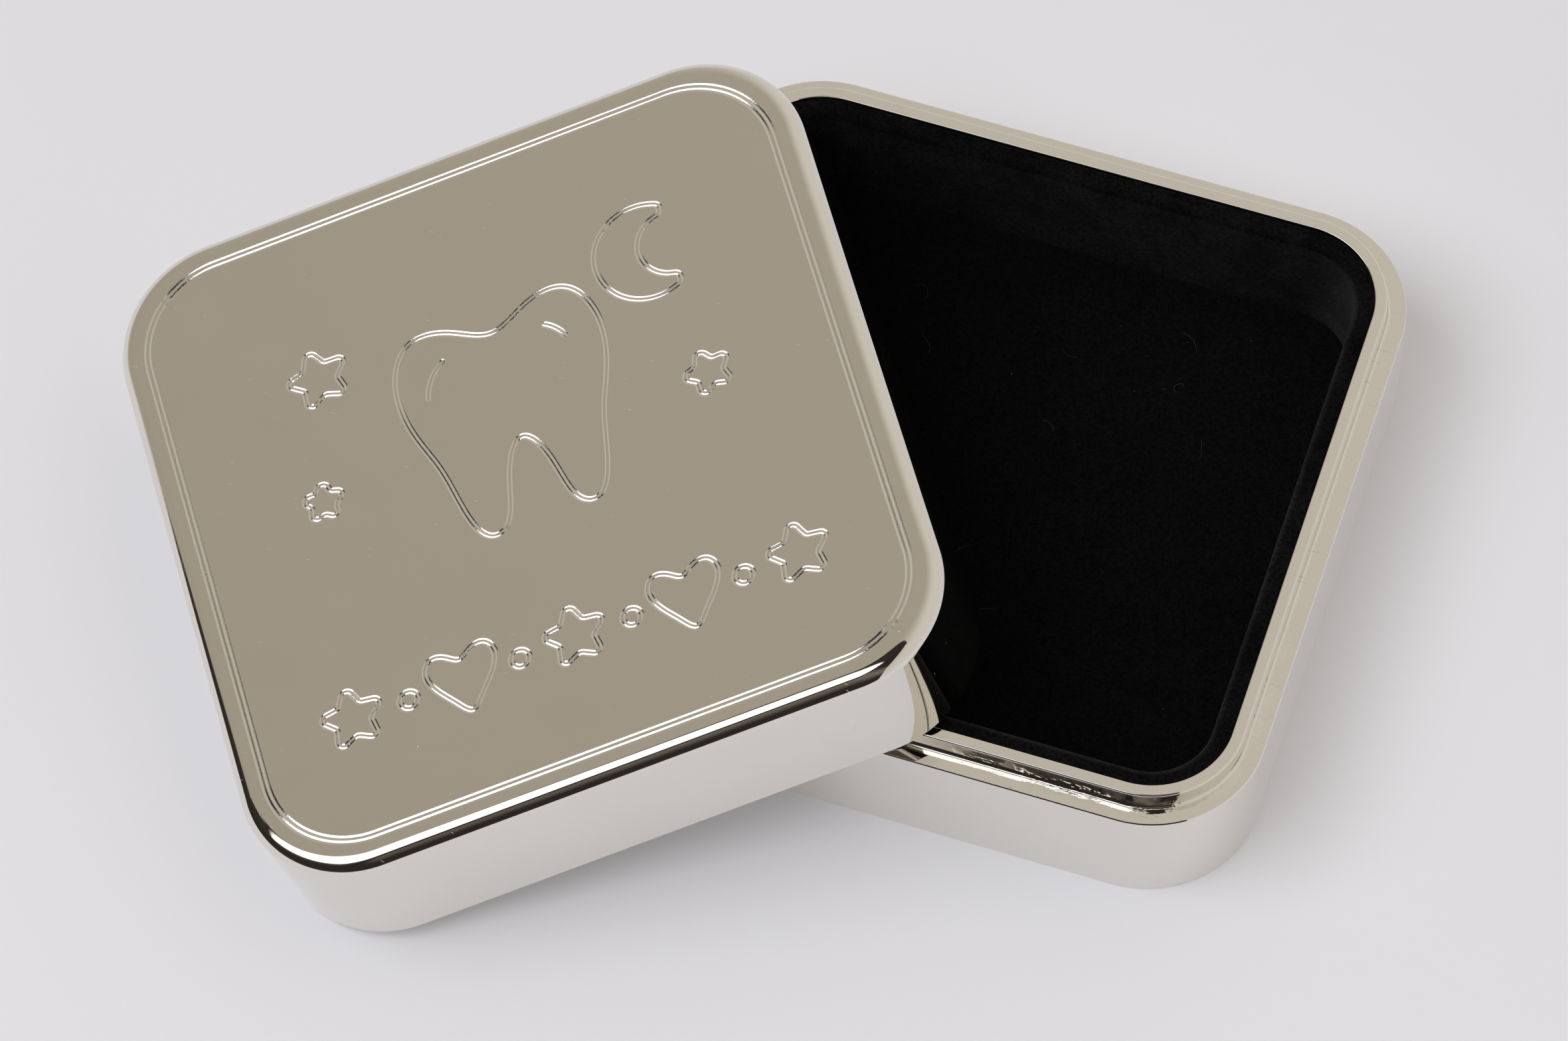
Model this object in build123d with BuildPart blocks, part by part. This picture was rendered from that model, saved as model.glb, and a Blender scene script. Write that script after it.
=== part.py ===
"""Square keepsake box for a child's first teeth: a cast, plated base lined with velvet, and a lift-off lid.

The row frame is the base's own: the origin is the centre of its underside on the table, X and Y run along
its sides and +Z is up. The lid lies beside it as the box was left open: its left lower edge is on the
table, and its skirt leans on the base's lip. Everything is in millimetres and degrees.
"""
from build123d import *
import os
from math import atan2, cos, degrees, radians, sin

# Plan of the box, shared by base and lid
side = 60.0
corner_radius = 9.6
least_corner_radius = 0.3

# Base shell: a tray whose inner wall stands up as a lip inside a flat ledge
base_height = 13.1
lip_rise = 1.7
lip_thickness = 1.05
lip_edge_radius = 0.18
base_floor_thickness = 0.8
foot_rim_width = 2.2
edge_break = 0.12

# Lid shell: a flat top with a rounded edge and a straight skirt that closes on the ledge
lid_height = 12.9
lid_top_thickness = 1.5
lid_edge_radius = 1.35
lid_inner_radius = 0.4
skirt_wall = 1.55
skirt_clearance = 0.12

# Border line cut into the lid's top: a flat-bottomed groove with sloping walls
groove_inset = 2.54
groove_corner_radius = 7.5
groove_width = 0.66
groove_floor_width = 0.24
groove_depth = 0.2

# Linings: velvet wrapped over card, and a felt sheet let into the underside
felt_thickness = 0.5
velvet_thickness = 0.55
wall_card_thickness = 1.0
pad_card_thickness = 0.4
lining_drop = 0.3
lining_edge_radius = 0.35
lining_clearance = 0.1
lid_pad_clearance = 0.6

# How the lid lies: turned from the base's sides, and how far from its low edge, measured level as a share
# of the side, its skirt crosses the lip's near face and the lip's left face
lid_yaw = 33.35
near_reach_share = 0.827
left_reach_share = 0.849
rest_gap = 0.03

# Worked out from the sizes above
half_side = side / 2
ledge_width = skirt_wall + skirt_clearance
ledge_height = base_height - lip_rise
cavity_inset = ledge_width + lip_thickness
base_floor_top = felt_thickness + base_floor_thickness
lining_top = base_height - lining_drop

wall_card_inset = cavity_inset + lining_clearance
wall_card_top = lining_top - velvet_thickness
wall_velvet_back = wall_card_inset + wall_card_thickness
wall_velvet_front = wall_velvet_back + velvet_thickness

floor_velvet_inset = wall_velvet_front + lining_clearance
floor_card_inset = floor_velvet_inset + velvet_thickness
floor_card_top = base_floor_top + pad_card_thickness
floor_velvet_top = floor_card_top + velvet_thickness

lid_ceiling = lid_height - lid_top_thickness
lid_velvet_inset = skirt_wall + lid_pad_clearance
lid_card_inset = lid_velvet_inset + velvet_thickness
lid_card_bottom = lid_ceiling - pad_card_thickness
lid_velvet_bottom = lid_card_bottom - velvet_thickness

# The groove's walls lean by this angle from the upright
groove_slope = degrees(atan2((groove_width - groove_floor_width) / 2, groove_depth))

# The low edge's middle follows from where the skirt's inner faces cross the lip's left and near faces
yaw = radians(lid_yaw)
near_reach = near_reach_share * side
left_reach = left_reach_share * side
lip_face = half_side - ledge_width
skirt_inner_face = half_side - skirt_wall
low_edge_x = skirt_inner_face * sin(yaw) - left_reach * cos(yaw) - lip_face
low_edge_y = skirt_inner_face * cos(yaw) - near_reach * sin(yaw) - lip_face

# The tilt puts the skirt's lower edge just over the lip's top at the nearer crossing
tilt = atan2(base_height + rest_gap, min(near_reach, left_reach))
lid_x_direction = Vector(cos(yaw) * cos(tilt), sin(yaw) * cos(tilt), sin(tilt))
lid_z_direction = Vector(-cos(yaw) * sin(tilt), -sin(yaw) * sin(tilt), cos(tilt))
low_edge_middle = Vector(low_edge_x, low_edge_y, 0)
lid_plane = Plane(
    origin=low_edge_middle + lid_x_direction * half_side,
    x_dir=lid_x_direction,
    z_dir=lid_z_direction,
)
lid_axis = Axis(lid_plane.origin, lid_plane.z_dir)


def rounded_square(inset, mode=Mode.ADD):
    """The box's outline in plan, moved in by inset, with its corner radius smaller by as much."""
    width = side - 2 * inset
    radius = max(corner_radius - inset, least_corner_radius)
    RectangleRounded(width, width, radius, mode=mode)


def groove_outline(offset_from_line, mode=Mode.ADD):
    """One edge of the border groove, at an offset outwards from the groove's middle line."""
    width = side - 2 * groove_inset + 2 * offset_from_line
    radius = max(groove_corner_radius + offset_from_line, least_corner_radius)
    RectangleRounded(width, width, radius, mode=mode)


# Base shell: outer wall up to the ledge, inner wall up to the lip's top
with BuildPart() as base_shell:
    with BuildSketch(Plane.XY):
        rounded_square(0)
    extrude(amount=ledge_height)
    with BuildSketch(Plane.XY):
        rounded_square(ledge_width)
    extrude(amount=base_height)
    with BuildSketch(Plane.XY.offset(base_floor_top)):
        rounded_square(cavity_inset)
    extrude(amount=base_height, mode=Mode.SUBTRACT)
    with BuildSketch(Plane.XY):
        rounded_square(foot_rim_width)
    extrude(amount=felt_thickness, mode=Mode.SUBTRACT)
    foot, *level_faces, ledge, lip_top = base_shell.faces().filter_by(Axis.Z).sort_by(Axis.Z)
    fillet(lip_top.edges(), lip_edge_radius)
    fillet(ledge.outer_wire().edges() + foot.outer_wire().edges(), edge_break)
base_shell.part.label = "base_shell"

# Felt let into the underside, flush with the metal rim round it
with BuildPart() as base_felt:
    with BuildSketch(Plane.XY):
        rounded_square(foot_rim_width + lining_clearance)
    extrude(amount=felt_thickness)
base_felt.part.label = "base_felt"

# Card strip that stiffens the wall lining
with BuildPart() as base_wall_card:
    with BuildSketch(Plane.XY.offset(base_floor_top)):
        rounded_square(wall_card_inset)
        rounded_square(wall_velvet_back, Mode.SUBTRACT)
    extrude(amount=wall_card_top - base_floor_top)
base_wall_card.part.label = "base_wall_card"

# Velvet of the wall lining: down the strip's face, and folded over its top
with BuildPart() as base_wall_velvet:
    with BuildSketch(Plane.XY.offset(base_floor_top)):
        rounded_square(wall_velvet_back)
        rounded_square(wall_velvet_front, Mode.SUBTRACT)
    extrude(amount=lining_top - base_floor_top)
    with BuildSketch(Plane.XY.offset(wall_card_top)):
        rounded_square(wall_card_inset)
        rounded_square(wall_velvet_front, Mode.SUBTRACT)
    extrude(amount=velvet_thickness)
    velvet_fold = base_wall_velvet.faces().sort_by(Axis.Z)[-1]
    fillet(velvet_fold.edges(), lining_edge_radius)
base_wall_velvet.part.label = "base_wall_velvet"

# Card of the floor lining
with BuildPart() as base_floor_card:
    with BuildSketch(Plane.XY.offset(base_floor_top)):
        rounded_square(floor_card_inset)
    extrude(amount=pad_card_thickness)
base_floor_card.part.label = "base_floor_card"

# Velvet of the floor lining: over the card and down its edges
with BuildPart() as base_floor_velvet:
    with BuildSketch(Plane.XY.offset(base_floor_top)):
        rounded_square(floor_velvet_inset)
    extrude(amount=floor_velvet_top - base_floor_top)
    with BuildSketch(Plane.XY.offset(base_floor_top)):
        rounded_square(floor_card_inset)
    extrude(amount=pad_card_thickness, mode=Mode.SUBTRACT)
    floor_nap = base_floor_velvet.faces().sort_by(Axis.Z)[-1]
    fillet(floor_nap.edges(), lining_edge_radius)
base_floor_velvet.part.label = "base_floor_velvet"

# Lid shell: hollow from below, rounded top edge, border groove cut round the top
with BuildPart() as lid_shell:
    with BuildSketch(lid_plane):
        rounded_square(0)
    extrude(amount=lid_height)
    lid_top = lid_shell.faces().sort_by(lid_axis)[-1]
    fillet(lid_top.edges(), lid_edge_radius)
    with BuildSketch(lid_plane):
        rounded_square(skirt_wall)
    extrude(amount=lid_ceiling, mode=Mode.SUBTRACT)
    ceiling = lid_shell.faces().filter_by(lid_axis).sort_by(lid_axis)[-2]
    fillet(ceiling.edges(), lid_inner_radius)
    skirt_foot = lid_shell.faces().sort_by(lid_axis)[0]
    fillet(skirt_foot.edges(), edge_break)
    with BuildSketch(lid_plane.offset(lid_height)):
        groove_outline(groove_width / 2)
        groove_outline(-groove_width / 2, Mode.SUBTRACT)
    extrude(amount=-groove_depth, taper=groove_slope, mode=Mode.SUBTRACT)
lid_shell.part.label = "lid_shell"

# Card of the lid's lining, against the inside of the top
with BuildPart() as lid_card:
    with BuildSketch(lid_plane.offset(lid_card_bottom)):
        rounded_square(lid_card_inset)
    extrude(amount=pad_card_thickness)
lid_card.part.label = "lid_card"

# Velvet of the lid's lining: under the card and up its edges
with BuildPart() as lid_velvet:
    with BuildSketch(lid_plane.offset(lid_velvet_bottom)):
        rounded_square(lid_velvet_inset)
    extrude(amount=lid_ceiling - lid_velvet_bottom)
    with BuildSketch(lid_plane.offset(lid_card_bottom)):
        rounded_square(lid_card_inset)
    extrude(amount=pad_card_thickness, mode=Mode.SUBTRACT)
    lid_nap = lid_velvet.faces().sort_by(lid_axis)[0]
    fillet(lid_nap.edges(), lining_edge_radius)
lid_velvet.part.label = "lid_velvet"

os.makedirs("parts", exist_ok=True)
for piece in (
    base_shell,
    base_felt,
    base_wall_card,
    base_wall_velvet,
    base_floor_card,
    base_floor_velvet,
    lid_shell,
    lid_card,
    lid_velvet,
):
    export_step(piece.part, f"parts/{piece.part.label}.step")
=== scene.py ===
"""Keepsake box for a child's first teeth, open on a pale table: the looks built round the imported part.

The frame is the part's own, in metres: the base stands at the origin, and the lid lies beside it with its
left lower edge on the table and its skirt on the base's lip. Sizes below are the part's, in millimetres,
and are turned to metres when a mesh is written.
"""
from math import atan2, cos, pi, radians, sin, tan

import bpy
import numpy as np
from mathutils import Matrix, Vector
from mathutils.geometry import delaunay_2d_cdt


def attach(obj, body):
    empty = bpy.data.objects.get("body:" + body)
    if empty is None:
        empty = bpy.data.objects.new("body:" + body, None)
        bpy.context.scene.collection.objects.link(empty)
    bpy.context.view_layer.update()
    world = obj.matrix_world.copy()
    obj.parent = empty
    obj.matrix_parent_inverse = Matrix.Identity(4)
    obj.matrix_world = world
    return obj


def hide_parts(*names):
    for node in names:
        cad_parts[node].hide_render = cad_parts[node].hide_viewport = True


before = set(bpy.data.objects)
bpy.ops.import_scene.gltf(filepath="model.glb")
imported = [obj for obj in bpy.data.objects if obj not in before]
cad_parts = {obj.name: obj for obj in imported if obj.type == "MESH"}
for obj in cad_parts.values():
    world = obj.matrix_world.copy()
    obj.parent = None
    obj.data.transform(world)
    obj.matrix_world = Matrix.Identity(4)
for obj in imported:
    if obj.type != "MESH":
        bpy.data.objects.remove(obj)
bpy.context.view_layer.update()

MM = 0.001

# Plan of the box, as in the part
side = 60.0
corner_radius = 9.6
half_side = side / 2
corner_centre = half_side - corner_radius

# Base shell
base_height = 13.1
lip_rise = 1.7
lip_thickness = 1.05
lip_edge_radius = 0.18
base_floor_thickness = 0.8
foot_rim_width = 2.2
edge_break = 0.12
skirt_wall = 1.55
skirt_clearance = 0.12
ledge_width = skirt_wall + skirt_clearance
ledge_height = base_height - lip_rise
cavity_inset = ledge_width + lip_thickness

# Lid shell
lid_height = 12.9
lid_top_thickness = 1.5
lid_edge_radius = 1.35
lid_inner_radius = 0.4
lid_ceiling = lid_height - lid_top_thickness
groove_inset = 2.54
groove_corner_radius = 7.5

# Linings
felt_thickness = 0.5
velvet_thickness = 0.55
wall_card_thickness = 1.0
pad_card_thickness = 0.4
lining_drop = 0.3
lining_edge_radius = 0.35
lining_clearance = 0.1
lid_pad_clearance = 0.6
base_floor_top = felt_thickness + base_floor_thickness
lining_top = base_height - lining_drop
wall_card_inset = cavity_inset + lining_clearance
wall_card_top = lining_top - velvet_thickness
wall_velvet_back = wall_card_inset + wall_card_thickness
wall_velvet_front = wall_velvet_back + velvet_thickness
floor_velvet_inset = wall_velvet_front + lining_clearance
floor_card_inset = floor_velvet_inset + velvet_thickness
floor_card_top = base_floor_top + pad_card_thickness
floor_velvet_top = floor_card_top + velvet_thickness
lid_velvet_inset = skirt_wall + lid_pad_clearance
lid_card_inset = lid_velvet_inset + velvet_thickness
lid_card_bottom = lid_ceiling - pad_card_thickness
lid_velvet_bottom = lid_card_bottom - velvet_thickness

# How the lid lies, worked out as in the part
lid_yaw = 33.35
near_reach_share = 0.827
left_reach_share = 0.849
rest_gap = 0.03
yaw = radians(lid_yaw)
near_reach = near_reach_share * side
left_reach = left_reach_share * side
lip_face = half_side - ledge_width
skirt_inner_face = half_side - skirt_wall
low_edge_x = skirt_inner_face * sin(yaw) - left_reach * cos(yaw) - lip_face
low_edge_y = skirt_inner_face * cos(yaw) - near_reach * sin(yaw) - lip_face
tilt = atan2(base_height + rest_gap, min(near_reach, left_reach))
lid_x = np.array([cos(yaw) * cos(tilt), sin(yaw) * cos(tilt), sin(tilt)])
lid_y = np.array([-sin(yaw), cos(yaw), 0.0])
lid_z = np.array([-cos(yaw) * sin(tilt), -sin(yaw) * sin(tilt), cos(tilt)])
lid_origin = np.array([low_edge_x, low_edge_y, 0.0]) + lid_x * half_side
LID_PLACE = (lid_origin, np.stack([lid_x, lid_y, lid_z]))
BASE_PLACE = (np.zeros(3), np.eye(3))


# Small tools for nodes and colours

def linear(hex_colour):
    """An sRGB hex colour as the linear RGBA that a shader takes."""
    parts = [int(hex_colour[k:k + 2], 16) / 255 for k in (1, 3, 5)]
    return tuple(c / 12.92 if c <= 0.04045 else ((c + 0.055) / 1.055) ** 2.4 for c in parts) + (1.0,)


def add(tree, kind, inputs=None, **settings):
    """Adds one node. Settings are its properties. An input is a value to set, a socket to link, or a node
    whose first output is linked."""
    made = tree.nodes.new(kind)
    for name, value in settings.items():
        setattr(made, name, value)
    for socket, value in (inputs or {}).items():
        if isinstance(value, bpy.types.Node):
            value = value.outputs[0]
        if isinstance(value, bpy.types.NodeSocket):
            tree.links.new(value, made.inputs[socket])
        else:
            made.inputs[socket].default_value = value
    return made


def new_material(name, coordinates="Object"):
    """An empty node material, its node tree, and the coordinates that its patterns follow."""
    material = bpy.data.materials.new(name)
    material.use_nodes = True
    tree = material.node_tree
    tree.nodes.clear()
    return material, tree, add(tree, "ShaderNodeTexCoord").outputs[coordinates]


def show(material, shader):
    """Links a finished shader to the material's surface and returns the material."""
    add(material.node_tree, "ShaderNodeOutputMaterial", {"Surface": shader})
    return material


# Lines with rounded corners

def rounded_line(spots, radii, closed=False, steps=8):
    """A run of straight lines whose corners are arcs: points, and the unit normals to the left of travel.
    At each corner the arc touches both lines, so it starts radius * tan(turn / 2) before the corner."""
    spots = np.asarray(spots, float)
    count = len(spots)
    ahead = np.roll(spots, -1, axis=0) - spots
    ahead /= np.maximum(np.linalg.norm(ahead, axis=1), 1e-12)[:, None]
    points, normals = [], []
    for k in range(count):
        at_end = not closed and k in (0, count - 1)
        after = ahead[k] if closed or k < count - 1 else ahead[k - 1]
        before = ahead[k] if at_end and k == 0 else ahead[k - 1]
        turn = atan2(before[0] * after[1] - before[1] * after[0], before @ after)
        left = np.array([-before[1], before[0]])
        if at_end or abs(turn) < 1e-6:
            points.append(spots[k][None])
            normals.append(left[None])
            continue
        way = np.sign(turn)
        start = spots[k] - before * radii[k] * tan(abs(turn) / 2)
        angle = np.linspace(0, turn, steps + 1)[:, None]
        swung = left * np.cos(angle) + np.array([-left[1], left[0]]) * np.sin(angle)
        points.append(start + way * radii[k] * (left - swung))
        normals.append(swung)
    return np.concatenate(points), np.concatenate(normals)


def spread_evenly(points, closed, spacing):
    """The same line with points at an even spacing along it."""
    ring = np.vstack([points, points[:1]]) if closed else points
    run = np.concatenate([[0], np.cumsum(np.linalg.norm(np.diff(ring, axis=0), axis=1))])
    count = max(int(run[-1] / spacing), 8)
    along = np.linspace(0, run[-1], count + 1)[: count if closed else count + 1]
    return np.stack([np.interp(along, run, ring[:, k]) for k in (0, 1)], axis=1)


# The rounded square that every wall follows

def plan_stations(arc_steps, side_steps):
    """Stations round the plan: a corner sign pair and an outward unit normal at each.
    A plan point is core * sign + reach * normal, so one set of stations serves every inset."""
    signs, normals = [], []
    for quarter in range(4):
        start = quarter * pi / 2
        angle = np.linspace(start, start + pi / 2, arc_steps + 1)
        here = np.array([cos(start) - sin(start), sin(start) + cos(start)])
        following = np.array([-here[1], here[0]])
        signs.append(np.repeat(here[None], arc_steps + 1, axis=0))
        normals.append(np.stack([np.cos(angle), np.sin(angle)], axis=1))
        share = np.linspace(0, 1, side_steps + 1)[1:-1, None]
        signs.append(here * (1 - share) + following * share)
        normals.append(np.repeat(normals[-1][-1:], side_steps - 1, axis=0))
    return np.concatenate(signs), np.concatenate(normals)


def carried(profile, normals, stations):
    """A profile of (minus inset, height) carried round the rounded square: a grid of points and normals."""
    signs, outward = stations
    reach = corner_radius + profile[:, 0]
    plan = corner_centre * signs[None] + reach[:, None, None] * outward[None]
    height = np.broadcast_to(profile[:, 1][:, None, None], plan.shape[:2] + (1,))
    lean = normals[:, 0][:, None, None] * outward[None]
    rise = np.broadcast_to(normals[:, 1][:, None, None], lean.shape[:2] + (1,))
    return np.concatenate([plan, height], axis=2), np.concatenate([lean, rise], axis=2)


def quads(rows, columns, wrap_rows=False, wrap_columns=True, start=0):
    """Faces of a grid of rows by columns whose first point has the index start."""
    index = start + np.arange(rows * columns).reshape(rows, columns)
    if wrap_rows:
        index = np.vstack([index, index[:1]])
    if wrap_columns:
        index = np.hstack([index, index[:, :1]])
    return np.stack([index[:-1, :-1], index[1:, :-1], index[1:, 1:], index[:-1, 1:]], axis=2).reshape(-1, 4)


def fan(ring, pole, wrap=True):
    """Triangles that close a ring of indices on one point."""
    following = np.roll(ring, -1)
    faces = np.stack([ring, following, np.full_like(ring, pole)], axis=1)
    return faces if wrap else faces[:-1]


class Sheet:
    """Points, normals and faces of one piece while it is put together."""

    def __init__(self):
        self.points, self.normals, self.faces, self.count = [], [], [], 0

    def add_points(self, points, normals):
        """Stores points with their normals and returns their indices in the same shape."""
        shape = points.shape[:-1]
        self.points.append(points.reshape(-1, 3))
        self.normals.append(np.broadcast_to(normals, points.shape).reshape(-1, 3))
        index = self.count + np.arange(int(np.prod(shape))).reshape(shape)
        self.count += index.size
        return index

    def add_faces(self, faces, material=0):
        """Stores an array of triangles or quads with the material that they show."""
        self.faces.append((np.asarray(faces), material))


def make_piece(name, sheet, place, materials):
    """Writes a mesh in metres, in the part's frame, with its exact normals; every face is turned the way
    its points' normals say."""
    origin, axes = place
    points = np.concatenate(sheet.points)
    normals = np.concatenate(sheet.normals)
    corners, sizes, kinds = [], [], []
    for faces, material in sheet.faces:
        a, b, c = points[faces[:, 0]], points[faces[:, 1]], points[faces[:, 2]]
        facing = np.cross(b - a, c - a)
        if faces.shape[1] == 4:
            facing += np.cross(c - a, points[faces[:, 3]] - a)
        flipped = (facing * normals[faces].sum(axis=1)).sum(axis=1) < 0
        turned = np.where(flipped[:, None], faces[:, ::-1], faces)
        corners.append(turned.ravel())
        sizes.append(np.full(len(faces), faces.shape[1]))
        kinds.append(np.full(len(faces), material))
    corners, sizes, kinds = (np.concatenate(x).astype(np.int32) for x in (corners, sizes, kinds))
    mesh = bpy.data.meshes.new(name)
    mesh.vertices.add(len(points))
    mesh.vertices.foreach_set("co", ((points @ axes + origin) * MM).astype(np.float32).ravel())
    mesh.loops.add(len(corners))
    mesh.loops.foreach_set("vertex_index", corners)
    mesh.polygons.add(len(sizes))
    mesh.polygons.foreach_set("loop_start", (np.cumsum(sizes) - sizes).astype(np.int32))
    mesh.polygons.foreach_set("material_index", kinds)
    mesh.update(calc_edges=True)
    mesh.validate()
    mesh.shade_smooth()
    mesh.normals_split_custom_set_from_vertices((normals @ axes).tolist())
    for material in materials:
        mesh.materials.append(material)
    piece = bpy.data.objects.new(name, mesh)
    bpy.context.scene.collection.objects.link(piece)
    return piece


def dress(piece, body, slot, *nodes):
    """Rides a finished piece on its body in place of the nodes that it stands for, which are hidden. The
    slot is not used.
    """
    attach(piece, body)
    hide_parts(*nodes)


# Materials. Heights and depths of relief are in millimetres

swell_height = 0.003
wipe_mark_height = 0.00012
dust_speck_height = 0.006
scratch_depth = 0.02
pit_depth = 0.055
cutter_mark_height = 0.004
tuft_height = 0.12
fibre_height = 0.15
fleck_height = 0.03


def nickel_plate(name, pitted_from, pitted_to, scratch_level):
    """Bright nickel plate over a polished casting: a warm mirror. Its polish is not quite level, so long
    reflections waver, and it has hairline wipe marks, a few scratches and dust specks. Between two heights,
    towards the near right corner, the buff can't reach: there the casting's pits show through in patches,
    drawn out along the near side."""
    material, tree, place = new_material(name)
    polish_swell = add(tree, "ShaderNodeTexNoise", {"Vector": place, "Scale": 1 / (7 * MM), "Detail": 1.0})
    wipe_grain = add(tree, "ShaderNodeMapping", {
        "Vector": place, "Rotation": (0, 0, yaw), "Scale": (1, 9, 1)})
    wipe_marks = add(tree, "ShaderNodeTexNoise", {
        "Vector": wipe_grain, "Scale": 1 / (2.2 * MM), "Detail": 5.0, "Roughness": 0.7})
    specks = add(tree, "ShaderNodeTexVoronoi", {"Vector": place, "Scale": 1 / (6 * MM)})
    speck = add(tree, "ShaderNodeMapRange", {
        "Value": specks.outputs["Distance"], "From Min": 0.014, "From Max": 0.004})
    scratch_grain = add(tree, "ShaderNodeMapping", {
        "Vector": place, "Rotation": (0, 0, radians(62)), "Scale": (1, 11, 1)})
    scratches = add(tree, "ShaderNodeTexNoise", {"Vector": scratch_grain, "Scale": 1 / (1.7 * MM)})
    scratch = add(tree, "ShaderNodeMapRange", {
        "Value": scratches, "From Min": scratch_level, "From Max": scratch_level + 0.02})
    axes = add(tree, "ShaderNodeSeparateXYZ", {0: place})
    above = add(tree, "ShaderNodeMapRange", {
        "Value": axes.outputs["Z"], "From Min": (pitted_from - 0.012) * MM, "From Max": pitted_from * MM})
    below = add(tree, "ShaderNodeMapRange", {
        "Value": axes.outputs["Z"], "From Min": (pitted_to + 0.3) * MM, "From Max": pitted_to * MM})
    patches = add(tree, "ShaderNodeTexNoise", {"Vector": place, "Scale": 1 / (2.6 * MM), "Detail": 2.0})
    patch = add(tree, "ShaderNodeMapRange", {"Value": patches, "From Min": 0.44, "From Max": 0.56})
    pit_grain = add(tree, "ShaderNodeMapping", {"Vector": place, "Scale": (0.35, 1, 1)})
    pits = add(tree, "ShaderNodeTexNoise", {
        "Vector": pit_grain, "Scale": 1 / (0.4 * MM), "Detail": 2.0, "Roughness": 0.6})
    nearer_corner = add(tree, "ShaderNodeMath", {
        0: axes.outputs["X"], 1: axes.outputs["Y"]}, operation="SUBTRACT")
    worse = add(tree, "ShaderNodeMapRange", {
        "Value": nearer_corner, "From Min": 35 * MM, "From Max": 45 * MM})
    for limit in (above, below, patch, worse):
        pits = add(tree, "ShaderNodeMath", {0: pits, 1: limit}, operation="MULTIPLY")
    height = add(tree, "ShaderNodeMath", {0: polish_swell, 1: swell_height}, operation="MULTIPLY")
    for relief, rise in ((wipe_marks, wipe_mark_height), (speck, dust_speck_height),
                         (scratch, -scratch_depth), (pits, pit_depth)):
        height = add(tree, "ShaderNodeMath", {0: relief, 1: rise, 2: height}, operation="MULTIPLY_ADD")
    bump = add(tree, "ShaderNodeBump", {"Strength": 1.0, "Distance": MM, "Height": height})
    roughness = add(tree, "ShaderNodeMapRange", {
        "Value": wipe_marks, "From Min": 0.35, "From Max": 0.7, "To Min": 0.035, "To Max": 0.06})
    rougher = add(tree, "ShaderNodeMath", {0: speck, 1: 0.25, 2: roughness}, operation="MULTIPLY_ADD")
    tint = add(tree, "ShaderNodeMix", {
        "Factor": polish_swell, 6: linear("#E8E5DE"), 7: linear("#E6E2DB")}, data_type="RGBA")
    shader = add(tree, "ShaderNodeBsdfPrincipled", {
        "Base Color": tint.outputs[2], "Metallic": 1.0, "Roughness": rougher, "Normal": bump})
    return show(material, shader)


def engraved_nickel():
    """The same plate over machine engraving: the cutter's path is duller, with fine cross marks."""
    material, tree, place = new_material("nickel_plate_engraved")
    cutter_marks = add(tree, "ShaderNodeTexNoise", {
        "Vector": place, "Scale": 1 / (0.16 * MM), "Detail": 3.0, "Roughness": 0.6})
    bump = add(tree, "ShaderNodeBump", {
        "Strength": 1.0, "Distance": cutter_mark_height * MM, "Height": cutter_marks})
    roughness = add(tree, "ShaderNodeMapRange", {
        "Value": cutter_marks, "From Min": 0.3, "From Max": 0.7, "To Min": 0.07, "To Max": 0.14})
    shader = add(tree, "ShaderNodeBsdfPrincipled", {
        "Base Color": linear("#E9E6E0"), "Metallic": 1.0, "Roughness": roughness, "Normal": bump})
    return show(material, shader)


def black_velvet(name, depth_colour, tip_colour, painted_sheen_colour, sheen, patch_contrast):
    """Black cotton velvet: its pile swallows light that it is seen straight into, and it is greyer where
    the pile leans in patches. Towards the edge of view a lighter grey is mixed into its colour: a painted
    sheen of its threads' sides and tips."""
    material, tree, place = new_material(name)
    brushed = add(tree, "ShaderNodeTexNoise", {
        "Vector": place, "Scale": 1 / (4 * MM), "Detail": 4.0, "Roughness": 0.6, "Distortion": 0.4})
    tufts = add(tree, "ShaderNodeTexNoise", {
        "Vector": place, "Scale": 1 / (0.26 * MM), "Detail": 3.0, "Roughness": 0.75})
    lean = add(tree, "ShaderNodeMapRange", {
        "Value": brushed, "From Min": 0.35, "From Max": 0.65,
        "To Min": 1 - patch_contrast, "To Max": 1 + patch_contrast})
    pile = add(tree, "ShaderNodeMapRange", {"Value": tufts, "From Min": 0.32, "From Max": 0.68})
    shade = add(tree, "ShaderNodeMath", {0: lean, 1: pile}, operation="MULTIPLY")
    colour = add(tree, "ShaderNodeMix", {
        "Factor": shade, 6: linear(depth_colour), 7: linear(tip_colour)}, data_type="RGBA")
    # Painted sheen: the more edge-on the pile is seen, the more of a lighter grey goes into its base
    # colour, patchy with the pile.
    edge_on = add(tree, "ShaderNodeLayerWeight", {"Blend": 0.5})
    painted_sheen_facing = add(tree, "ShaderNodeMapRange", {
        "Value": edge_on.outputs["Facing"], "From Min": 0.2, "From Max": 0.9})
    uneven = add(tree, "ShaderNodeMath", {0: shade, 1: 0.35}, operation="ADD")
    painted_sheen_share = add(tree, "ShaderNodeMath", {0: painted_sheen_facing, 1: uneven}, operation="MULTIPLY")
    base_with_painted_sheen = add(tree, "ShaderNodeMix", {
        "Factor": painted_sheen_share, 6: colour.outputs[2], 7: linear(painted_sheen_colour)}, data_type="RGBA")
    bump = add(tree, "ShaderNodeBump", {"Strength": 0.8, "Distance": tuft_height * MM, "Height": tufts})
    shader = add(tree, "ShaderNodeBsdfPrincipled", {
        "Base Color": base_with_painted_sheen.outputs[2], "Roughness": 1.0, "Specular IOR Level": 0.0,
        "Sheen Weight": sheen, "Sheen Roughness": 0.25, "Sheen Tint": linear("#D8D8DA"), "Normal": bump})
    return show(material, shader)


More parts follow.
